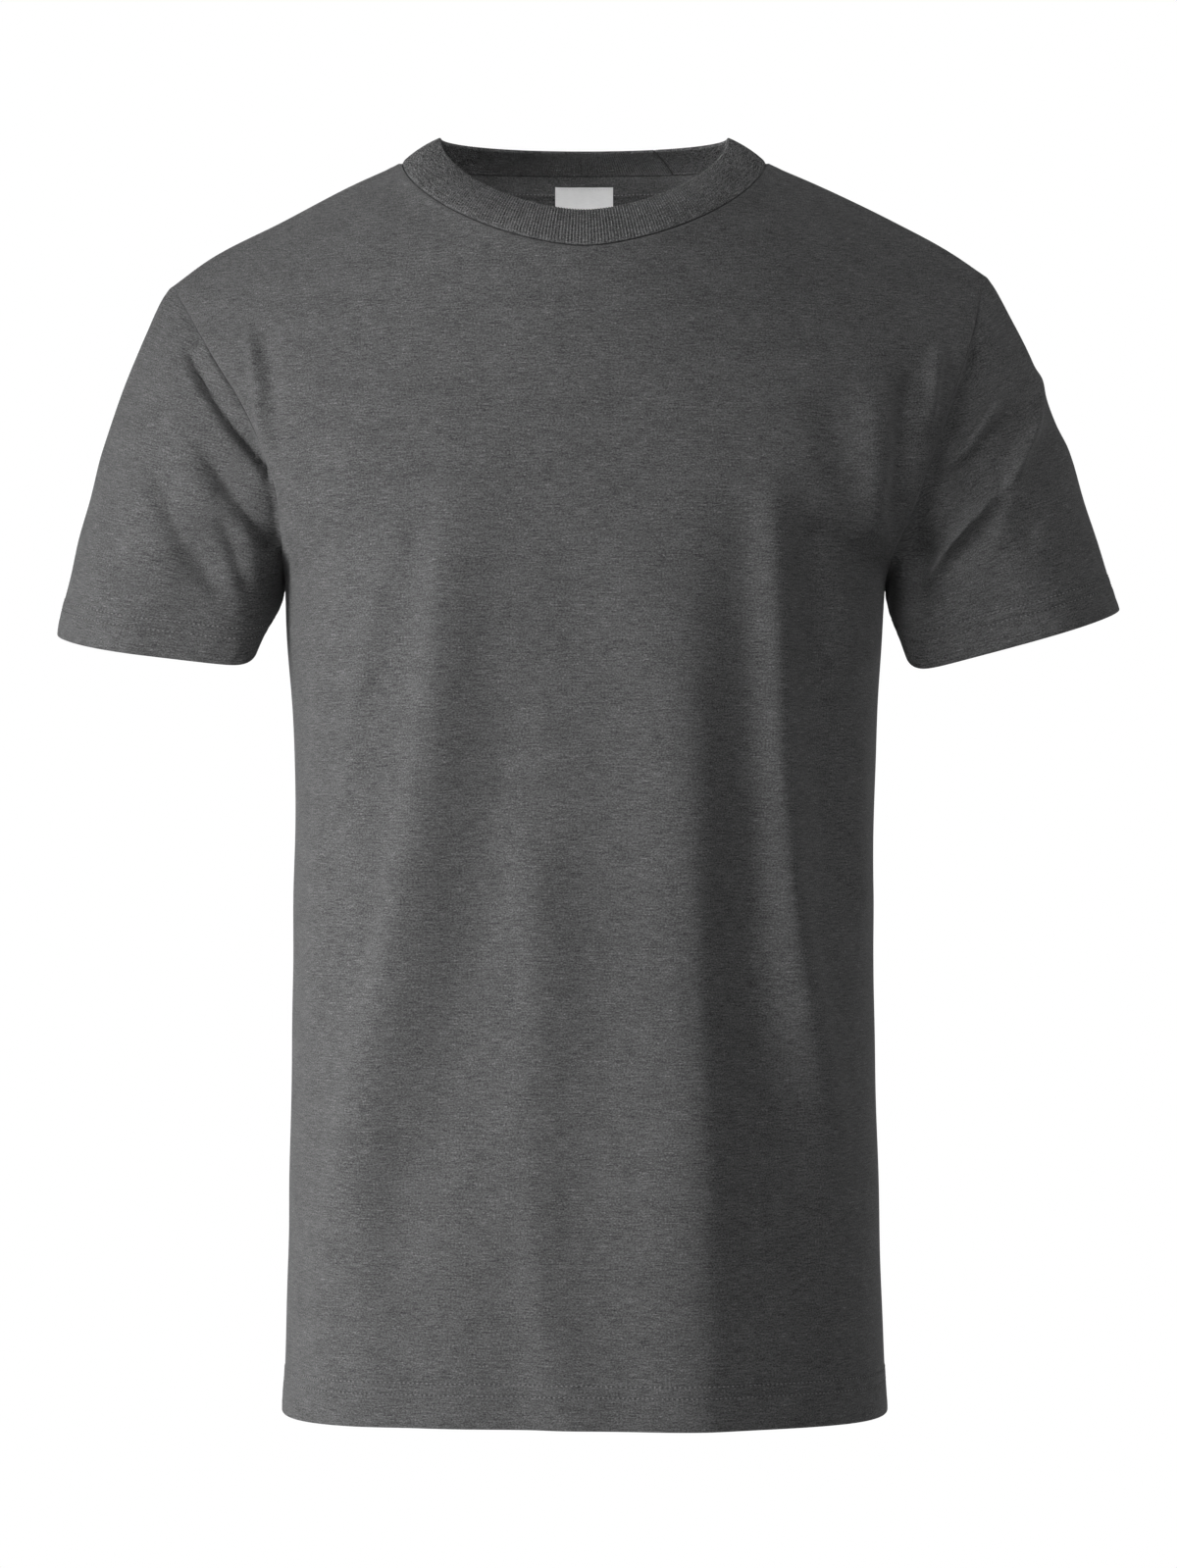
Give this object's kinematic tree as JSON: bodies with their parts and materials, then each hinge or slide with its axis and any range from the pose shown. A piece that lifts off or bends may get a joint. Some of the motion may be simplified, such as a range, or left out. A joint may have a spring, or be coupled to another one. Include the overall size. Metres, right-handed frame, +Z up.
{
  "type": "crew neck t-shirt",
  "caption": "Short-sleeved crew neck t-shirt in heather jersey, filled out as worn and hollow, with a ribbed collar, neck tape and turned hems.",
  "frame": {"origin": "midway between the two points where the shoulder seams meet the collar, where the wearer's shoulders hold the garment up", "axes": "+Z up the body, from hem to neck. +Y from the chest to the back, so the front faces -Y. +X towards the wearer's left sleeve"},
  "size_m": [0.5914, 0.253, 0.7081],
  "materials": {
    "body_jersey": "charcoal heather single jersey, matt, brushed by wear",
    "collar_rib": "charcoal heather 1x1 rib knit, matt",
    "tape_jersey": "charcoal heather jersey tape, matt",
    "label_satin": "blank pale grey woven satin"
  },
  "bodies": {
    "root": {"front": "body_jersey", "back": "body_jersey", "sleeve_right": "body_jersey", "sleeve_left": "body_jersey", "collar": "collar_rib", "neck_tape": "tape_jersey", "label": "label_satin"}
  },
  "joints": []
}
